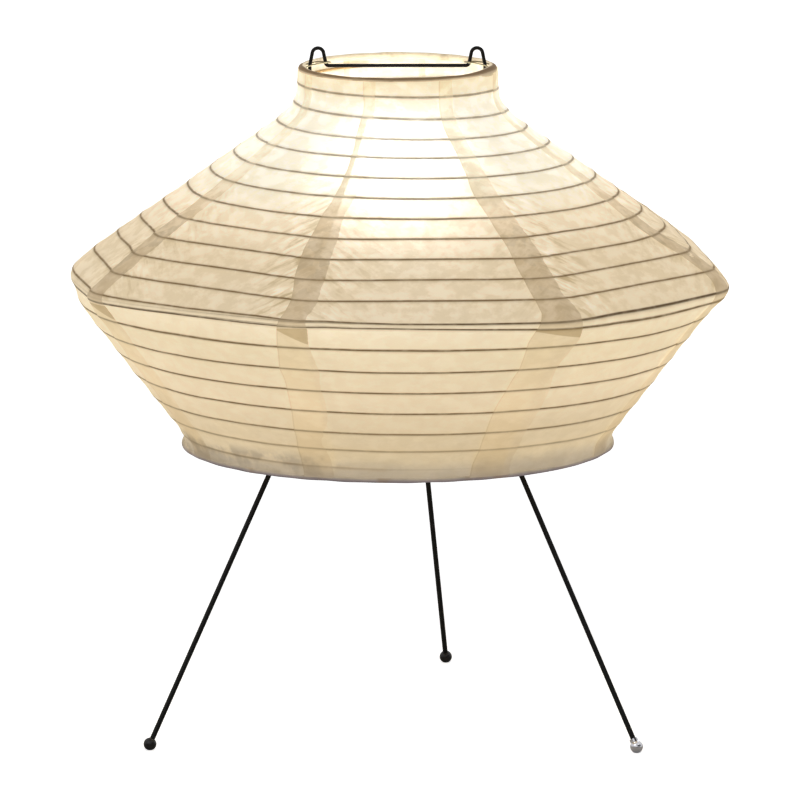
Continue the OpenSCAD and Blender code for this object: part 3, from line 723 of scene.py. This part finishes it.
def waves(a, b, seed, size, count=14):
    """A smooth random field: count sine waves of random direction and phase, about size long."""
    rng = np.random.default_rng(seed)
    total = 0.0
    for _ in range(count):
        direction = rng.uniform(0, 2 * math.pi)
        length = size * rng.uniform(0.6, 1.8)
        phase = rng.uniform(0, 2 * math.pi)
        along = a * math.cos(direction) + b * math.sin(direction)
        total = total + np.sin(2 * math.pi * along / length + phase)
    return total / math.sqrt(count)


def crest_shift(azimuth, z):
    """How far a point near the crest lies above its level place: the crest's own rise, and the
    spread of its two turns, both fading away from the crest."""
    turn = np.mod(azimuth + 180, 360) - 180
    rise = np.interp(turn, CREST_AZ_STEPS, CREST_RISE)
    spread = np.interp(turn, CREST_AZ_STEPS, CREST_SPREAD)
    return np.exp(-(((z - WIDEST_Z) / CREST_REACH) ** 2)) * (rise + (z - WIDEST_Z) * (spread - 1))


def lap_edge(table, number, z):
    """Azimuth from the corner of one edge of a strip's lap, against height."""
    return np.interp(z, LAP_HEIGHTS, table.get(number, table[0]))


def splint(made):
    """The bamboo as one tube wound inside the paper. Height from the table of turns, radius that of
    the shade less the paper and half the splint, closed at both ends by a row of no size."""
    azimuth = CREST_AZ + 360 * np.arange(FIRST_TURN, LAST_TURN, 1 / RIB_STEPS_PER_TURN)[:, None]
    azimuth = np.concatenate([azimuth[:1], azimuth, azimuth[-1:]])
    size = np.ones_like(azimuth)
    size[[0, -1]] = 0
    turns = (azimuth - CREST_AZ) / 360
    slant = CREST_SLANT + RIB_PITCH * np.interp(turns, RIB_TURNS, RIB_PITCHES)
    z = np.interp(slant, FINE_SLANT, FINE_Z)
    lean = np.hypot(1, profile_r(z + 0.5) - profile_r(z - 0.5))
    section = section_angles(WIRE_SIDES)
    radius = shade_r(azimuth, z) - RIB_INSET - RIB_D / 2 * lean + RIB_D / 2 * size * np.cos(section)
    z = z + crest_shift(azimuth, z) + RIB_D / 2 * size * np.sin(section)
    tube = grid_mesh("bamboo_splint", around(radius, azimuth, z), wrap_columns=True)
    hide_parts("bamboo_rib")
    dress(tube, made, "shade")


def eye_wires(made):
    """A thin wire loop at each end of the crossbar: a rounded V from the roll to its tip, which
    dips at both roots into the rolled paper."""
    share = np.linspace(-1, 1, 61)[:, None]
    reach = (np.abs(share) ** 2.2 * 0.45 + np.abs(share) * 0.55) * (EYE_ROOT_X - EYE_REACH_X)
    section = section_angles(WIRE_SIDES)
    along_x, along_y = np.gradient(EYE_REACH_X + reach[:, 0]), np.gradient(EYE_OPEN * share[:, 0])
    length = np.hypot(along_x, along_y)
    side_x, side_y = (along_y / length)[:, None], (-along_x / length)[:, None]
    rows = []
    for hand in (-1, 1):
        x = hand * (EYE_REACH_X + reach + EYE_WIRE_R * np.cos(section) * side_x)
        y = hand * (EYE_OPEN * share + EYE_WIRE_R * np.cos(section) * side_y)
        z = EYE_Z - EYE_DIP * np.abs(share) ** 4 + EYE_WIRE_R * np.sin(section) + 0 * x
        rows.append(np.stack([x, y, z], axis=-1))
    for name, points in zip(("eye_wire_left", "eye_wire_right"), rows):
        wire = grid_mesh(name, points, wrap_columns=True)
        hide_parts("ring_eyes")
        dress(wire, made, "shade")


def spacing_steps():
    """Turn counts and, just before and after each, the pitches that one turn takes there."""
    turns, pitches = np.array(RIB_TURNS), np.array(RIB_PITCHES)
    rate = np.diff(pitches) / np.diff(turns)
    at = np.repeat(turns[1:-1], 2) + np.tile([-0.01, 0.01], len(rate) - 1)
    return at, np.repeat(rate, 2)[1:-1]


def paper_strip(number, made):
    """One strip between two corners, as columns across by rows down the slope. Its first columns
    lap over the strip before it, and its last end under the next strip's lap. Radius: the shade's
    own, less a shallow sag between the ribs, plus the rise of the lap and slow waves of slack."""
    slant = np.linspace(0.0, FULL_SLANT, STRIP_ROWS)[:, None]
    z = np.interp(slant, FINE_SLANT, FINE_Z)
    ragged = np.degrees(RAGGED * waves(slant, 0, 40 + number, RAGGED_WAVE) / profile_r(z))
    start = lap_edge(LAP_STARTS, number, z) + ragged
    end = lap_edge(LAP_ENDS, number, z) + ragged[::-1]
    lap_part = start * np.linspace(1.0, 0.0, LAP_COLUMNS)[None, :]
    local = np.hstack([lap_part, STRIP_COLUMNS[None, :] + 0 * slant])
    azimuth = CORNER_AZ + (number - 1) * SIDE_ANGLE + local
    z = z + 0 * azimuth
    slant = slant + 0 * azimuth

    places = np.interp((slant - CREST_SLANT) / RIB_PITCH, RIB_PITCHES, RIB_TURNS)
    phase = places - (azimuth - CREST_AZ) / 360.0
    turn = np.mod(phase, 1.0)
    pitch = RIB_PITCH * np.interp(places, *spacing_steps())
    rib_here = ease((places - FIRST_TURN) * 12) * ease((LAST_TURN - places) * 12)

    arc = np.radians(local) * profile_r(z)
    inside_lap = ease((end - local) / 0.9)
    to_corner = np.radians(np.minimum(np.abs(local), np.abs(SIDE_ANGLE - local))) * profile_r(z)
    across, along = slant - 0.9 * to_corner, slant + to_corner
    upper = ease((CREST_SLANT + 2 - slant) / 10) * ease((slant - 60) / 120)
    left, right = WRINKLES.get(number, WRINKLES[0])
    share = np.where(local < SIDE_ANGLE / 2, left, right)
    calm = 1 - 0.7 * inside_lap
    crease_near = share * ease((PUCKER_REACH - to_corner) / PUCKER_FADE) * upper * calm
    crest_near = np.exp(-(((slant - CREST_SLANT) / CREST_LINE_WIDTH) ** 2))

    sag = SCALLOP * (4 * turn * (1 - turn)) ** 0.8 * np.minimum(pitch / RIB_PITCH, 1.0)
    slack = SLACK * waves(arc + 500.0 * number, slant, 7, SLACK_WAVE)
    pucker = PUCKER * crease_near * waves(across * 2.2, along * 0.25, 20 + number, PUCKER_WAVE)
    radius = shade_r(azimuth, z) - sag + (slack + pucker) * calm + LAP_RISE * inside_lap
    points = around(radius, azimuth, z + crest_shift(azimuth, z))

    lap_share = (local - start) / (end - start)
    below_crest = slant - CREST_SLANT - FOLD_TOP
    fold_mm = FOLD_SLANTS[number % len(FOLD_SLANTS)] * lap_share + FOLD_DEPTH - below_crest
    strip = grid_mesh(
        f"paper_strip_{number}",
        points,
        uv_maps=[("crease", np.stack([across * MM, along * MM + number], axis=-1))],
        values=[
            ("rib_phase", phase),
            ("rib_pitch", pitch),
            ("rib_here", rib_here),
            ("crest_near", crest_near),
            ("crease_near", crease_near),
            ("lap_mm", np.radians(end - local) * profile_r(z)),
            ("lap_edge_mm", np.radians(local - start) * profile_r(z)),
            ("fold_mm", np.where(below_crest > 0, fold_mm, -5.0)),
            ("level", level_at(z)),
        ],
    )
    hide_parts(f"washi_panel_{number}")
    dress(strip, made, "shade")


def hem_material(name, stops, blotch_colour, blotch_share):
    """Rolled paper, lit by the bulb as painted glow, with painted light and shade from its underside
    to its top, a lighter painted inner side, and glue blotches.
    """
    made, t, shader = new_material(name, Roughness=0.85, Emission_Strength=1.0)
    place = t.node("ShaderNodeTexCoord").outputs["Object"]
    fibre = use_group(t, WASHI_FIBRE, Vector=place, Strength=0.9)
    wander = t.math("SUBTRACT", t.noise(place, 28.0, 3.0), 0.5)
    colour = t.ramp(t.math("MULTIPLY_ADD", wander, 0.2, t.attribute("upward")), stops)
    # Painted light: the side of the roll that faces into the shade is lighter
    colour = t.mix(t.step(t.attribute("outward"), 0.2, -0.4), colour, linear((226, 210, 180)))
    blotch = t.step(t.noise(place, 34.0, 3.0, 0.6), 0.55, 0.66)
    colour = t.mix(t.math("MULTIPLY", blotch, blotch_share), colour, linear(blotch_colour))
    colour = t.mix(1.0, colour, fibre.outputs["Factor"], "MULTIPLY")
    # The bulb's light through the roll is painted into its emission
    t.put(shader.inputs["Emission Color"], t.mix(1.0, colour, (0.72, 0.72, 0.72, 1), "MULTIPLY"))
    t.put(shader.inputs["Base Color"], t.mix(1.0, colour, (0.6, 0.6, 0.6, 1), "MULTIPLY"))
    bump(t, shader, fibre.outputs["Height"], 0.6, 0.001)
    return made


def rolled_hem(name, node, ring, hem_r, seed, made, lumps=()):
    """Paper rolled round a ring: a closed tube whose radius swells and pinches in small waves, and
    swells more at each of the lumps, given as azimuth, width and share."""
    ring_r, ring_z = ring
    azimuth = np.linspace(0, 360, HEM_STEPS + 1)[:-1][:, None]
    section = section_angles(HEM_SIDES)
    loops = np.round(2 * math.pi * ring_r / HEM_WAVE)
    wave = 0.0
    rng = np.random.default_rng(seed)
    for _ in range(9):
        count = np.round(loops * rng.uniform(0.3, 1.4))
        wave = wave + np.sin(np.radians(azimuth) * count + rng.uniform(0, 6.3))
    swell = 1 + 0.018 * wave + 0.02 * np.sin(3 * section + 2.0)
    for centre, width, share in lumps:
        away = np.mod(azimuth - centre + 180, 360) - 180
        swell = swell + share * np.exp(-((away / width) ** 2))
    radius = ring_r + hem_r * swell * np.cos(section)
    z = ring_z + hem_r * swell * np.sin(section)
    hem = grid_mesh(
        name, around(radius, azimuth, z), wrap_rows=True, wrap_columns=True,
        values=[
            ("upward", 0.5 + 0.5 * np.sin(section) + 0 * azimuth),
            ("outward", np.cos(section) + 0 * azimuth),
        ],
    )
    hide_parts(node)
    dress(hem, made, "shade")


def metal_finish(name, colour, roughness, metallic, wear, specular=0.5):
    """Painted or plated metal: a fine grain in its gloss and a little bump."""
    made, t, shader = new_material(name, Metallic=metallic, Specular_IOR_Level=specular)
    place = t.node("ShaderNodeTexCoord").outputs["Object"]
    grain = t.noise(place, 420.0, 3.0, 0.6)
    cloud = t.noise(place, 60.0, 2.0)
    shift = t.math("MULTIPLY", t.math("SUBTRACT", grain, 0.5), wear)
    t.put(shader.inputs["Roughness"], t.math("ADD", shift, roughness, clamp=True))
    paler = [min(255, c * 1.12 + 3) for c in colour]
    tint = t.mix(t.step(cloud, 0.35, 0.7), linear(colour), linear(paler))
    t.put(shader.inputs["Base Color"], tint)
    bump(t, shader, grain, 0.08, 0.0003)
    return made


def bamboo_finish():
    """Split bamboo: long fine grain in browns."""
    made, t, shader = new_material("bamboo_split", Roughness=0.6)
    place = t.node("ShaderNodeTexCoord").outputs["Object"]
    grain = t.noise(t.scaled(place, (1.0, 1.0, 9.0)), 240.0, 4.0, 0.65)
    t.put(shader.inputs["Base Color"], t.ramp(grain, [(0.3, (150, 118, 74)), (0.7, (196, 165, 114))]))
    return made


def lit_glass():
    """Frosted bulb, bright in the middle and softer towards its neck."""
    made, t, shader = new_material("bulb_lit", Roughness=0.5, Emission_Strength=20.0)
    place = t.node("ShaderNodeTexCoord").outputs["Object"]
    split = t.node("ShaderNodeSeparateXYZ")
    t.put(split.inputs[0], place)
    share = t.step(split.outputs["Z"], *BULB_NECK_Z)
    glow = t.mix(share, linear((240, 225, 200)), linear((255, 252, 244)))
    t.put(shader.inputs["Emission Color"], glow)
    t.put(shader.inputs["Base Color"], t.mix(share, (0.8, 0.78, 0.72, 1), (0.9, 0.89, 0.86, 1)))
    return made


def paint(node, made):
    """Give a CAD node a procedural material."""
    obj = nodes[node]
    obj.data.materials.clear()
    obj.data.materials.append(made)


def set_world():
    """A white world to look at that gives only a little light."""
    world = bpy.data.worlds.new("studio")
    bpy.context.scene.world = world
    world.use_nodes = True
    t = Tree(world.node_tree)
    path = t.node("ShaderNodeLightPath")
    seen = t.math("MAXIMUM", path.outputs["Is Camera Ray"], path.outputs["Is Glossy Ray"])
    seen = t.math("MAXIMUM", seen, path.outputs["Is Transmission Ray"])
    background = world.node_tree.nodes["Background"]
    background.inputs["Color"].default_value = (1, 1, 1, 1)
    strength = t.math("MULTIPLY_ADD", seen, WORLD_SEEN - WORLD_LIGHT, WORLD_LIGHT)
    t.put(background.inputs["Strength"], strength)


def floor_material():
    """A pale floor that takes the shadow near the lamp and fades to white far away."""
    made, t, shader = new_material("pale_floor", Roughness=0.9)
    shader.inputs["Base Color"].default_value = (0.9, 0.9, 0.9, 1)
    shader.inputs["Emission Color"].default_value = (1, 1, 1, 1)
    path = t.node("ShaderNodeLightPath")
    away = t.node("ShaderNodeVectorMath", operation="LENGTH")
    t.put(away.inputs[0], t.node("ShaderNodeTexCoord").outputs["Object"])
    glow = t.step(away.outputs["Value"], *FLOOR_FADE, FLOOR_NEAR_GLOW, FLOOR_FAR_GLOW)
    t.put(shader.inputs["Emission Strength"], t.math("MULTIPLY", path.outputs["Is Camera Ray"], glow))
    return made


def set_floor():
    """A flat round disc at height 0, as rings of points about its middle."""
    azimuth = np.linspace(0, 360, FLOOR_SIDES + 1)[None, :-1]
    radius = np.array(FLOOR_RINGS)[:, None] + 0 * azimuth
    floor = grid_mesh("floor", around(radius, azimuth + 0 * radius, 0 * radius), wrap_columns=True)
    floor.data.materials.append(floor_material())


def set_cards():
    """Dark cards that the polished foot reflects, each a part of an upright cylinder about the
    lamp. The front camera doesn't see them, but a camera behind the lamp does."""
    made, _, shader = new_material("dark_cloth", Roughness=0.9)
    shader.inputs["Base Color"].default_value = (0.02, 0.02, 0.025, 1)
    for name, (radius, first, last, low, high) in CARDS.items():
        turn = np.linspace(first, last, 24)[None, :]
        height = np.array([low, high])[:, None] + 0 * turn
        card = grid_mesh(name, around(radius + 0 * height, turn + 0 * height, height))
        card.data.materials.append(made)


bpy.context.scene.view_settings.view_transform = "Standard"
set_camera()
set_world()
set_floor()
set_cards()
for lamp_name, (lamp_place, lamp_size, lamp_power) in LAMPS.items():
    area_lamp(lamp_name, lamp_place, lamp_size, lamp_power)

washi = washi_material()
for strip_number in range(1, SIDES + 1):
    paper_strip(strip_number, washi)
rolled_hem(
    "rolled_top_hem", "top_hem", (TOP_RING_R, TOP_RING_Z), TOP_HEM_R, 3,
    hem_material("top_hem_lit", TOP_HEM_LIGHT_AND_SHADE, (150, 128, 94), 0.5), TOP_HEM_LUMPS,
)
rolled_hem(
    "rolled_bottom_hem", "bottom_hem", (BOTTOM_RING_R, BOTTOM_RING_Z), BOTTOM_HEM_R, 5,
    hem_material("bottom_hem_lit", BOTTOM_HEM_LIGHT_AND_SHADE, (128, 100, 66), 0.35), BOTTOM_HEM_LUMPS,
)
splint(bamboo_finish())
eye_wires(metal_finish("eye_wire_steel", (132, 124, 98), 0.4, 0.6, 0.1))

satin_black = metal_finish("black_satin", (10, 9, 8), 0.5, 0.0, 0.12, 0.15)
gloss_black = metal_finish("black_gloss", (12, 9, 8), 0.25, 0.0, 0.06, 0.3)
polished = metal_finish("polished_steel", (178, 178, 182), 0.12, 1.0, 0.05)
zinc = metal_finish("zinc", (190, 190, 195), 0.35, 1.0, 0.15)
brass = metal_finish("brass_plain", (205, 170, 95), 0.3, 1.0, 0.15)
wire_steel = metal_finish("ring_steel", (150, 146, 138), 0.35, 1.0, 0.15)
black_resin = metal_finish("holder_black", (22, 20, 20), 0.25, 0.0, 0.08)
porcelain = metal_finish("porcelain", (235, 232, 224), 0.15, 0.0, 0.05)

finishes = (
    (satin_black, ("stretcher", "strap", "leg_left", "leg_right", "leg_back")),
    (gloss_black, ("foot_left", "foot_back")),
    (polished, ("foot_right",)),
    (wire_steel, ("top_ring", "bottom_ring")),
    (brass, ("stem", "upper_nut", "lower_nut", "screw_shell", "centre_contact", "contact_screws")),
    (zinc, ("stem_washers", "leg_washers", "bulb_screw_cap", "bulb_tip")),
    (black_resin, ("holder_cap", "holder_shell", "cord_bush", "bulb_insulator")),
    (porcelain, ("holder_insert",)),
    (lit_glass(), ("bulb_glass",)),
)
for finish, node_names in finishes:
    for node_name in node_names:
        paint(node_name, finish)
